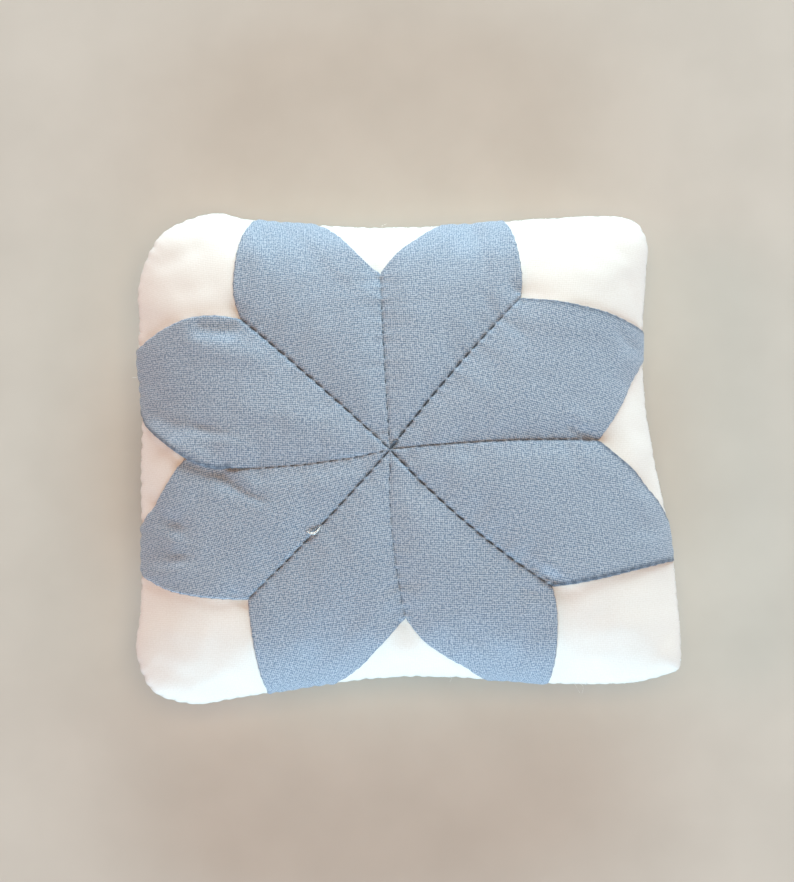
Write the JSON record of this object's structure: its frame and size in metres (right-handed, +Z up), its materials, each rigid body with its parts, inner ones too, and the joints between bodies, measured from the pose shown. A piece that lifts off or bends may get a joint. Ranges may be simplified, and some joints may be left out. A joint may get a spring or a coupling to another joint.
{
  "type": "wrist pin cushion",
  "caption": "Square stuffed patchwork cushion with a blue petal flower sewn on white cotton, worn on the wrist by a flat elastic band under its back.",
  "frame": {"origin": "on the resting plane, under the middle of the cushion's outline", "axes": "+X along the long way of the cushion and along the wrist band, +Y across it, +Z up out of the flower"},
  "size_m": [0.0888, 0.081, 0.0233],
  "materials": {
    "white_cotton": "matte",
    "blue_cotton": "matte",
    "grey_thread": "matte",
    "white_thread": "matte",
    "fibre_filling": "matte",
    "guard_card": "matte",
    "elastic": "matte"
  },
  "bodies": {
    "cushion": {"ground_panel": "white_cotton", "back_panel": "white_cotton", "filling": "fibre_filling", "pin_guard": "guard_card", "rim_thread": "white_thread", "centre_tack": "grey_thread", "petal_ene": "blue_cotton", "petal_nne": "blue_cotton", "petal_nnw": "blue_cotton", "petal_wnw": "blue_cotton", "petal_wsw": "blue_cotton", "petal_ssw": "blue_cotton", "petal_sse": "blue_cotton", "petal_ese": "blue_cotton", "seam_thread_e": "grey_thread", "seam_thread_ne": "grey_thread", "seam_thread_n": "grey_thread", "seam_thread_nw": "grey_thread", "seam_thread_w": "grey_thread", "seam_thread_sw": "grey_thread", "seam_thread_s": "grey_thread", "seam_thread_se": "grey_thread", "edge_thread_e": "grey_thread", "edge_thread_ne": "grey_thread", "edge_thread_n": "grey_thread", "edge_thread_nw": "grey_thread", "edge_thread_w": "grey_thread", "edge_thread_sw": "grey_thread", "edge_thread_s": "grey_thread", "edge_thread_se": "grey_thread", "band_side_left": "elastic", "band_side_right": "elastic", "band_stitch_left": "white_thread", "band_stitch_right": "white_thread"},
    "band": {"band_middle": "elastic"}
  },
  "joints": [
    {"name": "band_stretch", "type": "slide", "parent": "cushion", "child": "band", "axis": [0, 0, -1], "range_m": [0, 0.04], "stiffness_N_per_m": 35, "springref_m": -0.004, "deforming": ["band_side_left", "band_side_right"]}
  ]
}
